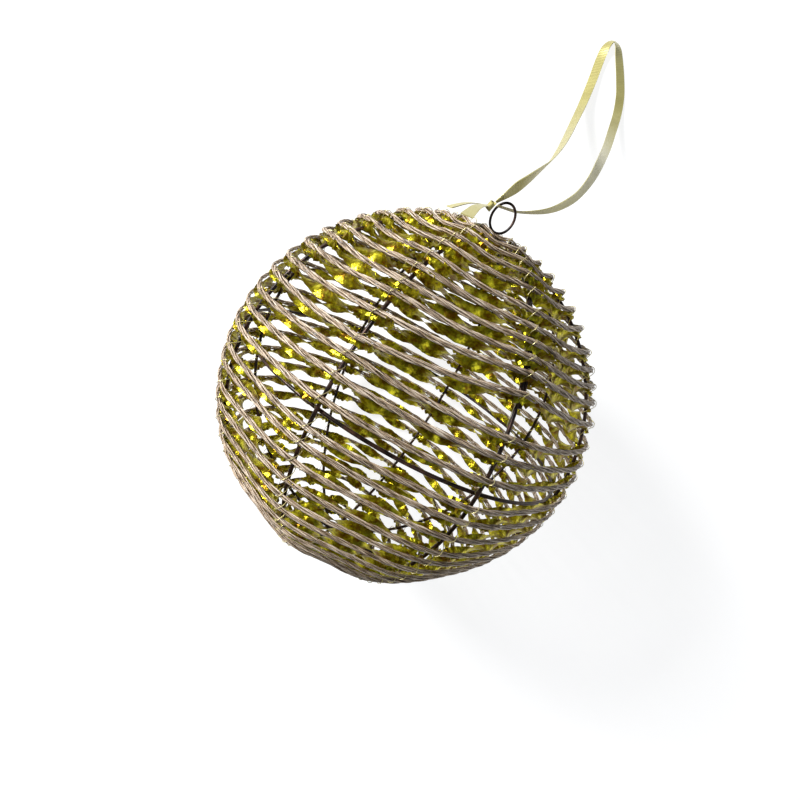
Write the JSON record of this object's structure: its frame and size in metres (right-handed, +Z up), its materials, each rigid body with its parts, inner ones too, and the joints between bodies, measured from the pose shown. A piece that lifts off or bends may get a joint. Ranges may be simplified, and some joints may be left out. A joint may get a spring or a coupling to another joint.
{
  "type": "christmas bauble",
  "caption": "Wire cage Christmas bauble about 100 mm across, wound with paper cord and gold foil, with an oval wire hanging ring and a looped gold ribbon, lying on its side.",
  "frame": {"origin": "on the floor plane, at the middle of the small flat spot under the ball", "axes": "+Z up from the floor the ball lies on; the hanging ring and the ribbon lie toward +Y, the poles' line leaning 15.4 degrees up from +Y; +X across the ball"},
  "size_m": [0.1006, 0.2011, 0.1],
  "materials": {
    "wire": "dark oxidised steel wire, satin",
    "paper_cord": "two-ply twisted paper cord, flattened, champagne to brown",
    "foil": "thin gold-coloured foil, shiny and creased",
    "ribbon": "woven satin with darker selvedges"
  },
  "bodies": {
    "root": {"rib_1": "wire", "rib_2": "wire", "rib_3": "wire", "rib_4": "wire", "rib_5": "wire", "rib_6": "wire", "rib_7": "wire", "rib_8": "wire", "equator_hoop": "wire", "hanging_ring": "wire", "winding_cord_01": "paper_cord", "winding_cord_02": "paper_cord", "winding_cord_03": "paper_cord", "winding_cord_04": "paper_cord", "winding_cord_05": "paper_cord", "winding_cord_06": "paper_cord", "winding_cord_07": "paper_cord", "winding_cord_08": "paper_cord", "winding_cord_09": "paper_cord", "winding_cord_10": "paper_cord", "foil_strip": "foil", "ribbon_loop": "ribbon", "ribbon_knot": "ribbon", "ribbon_tail_1": "ribbon", "ribbon_tail_2": "ribbon"}
  },
  "joints": []
}
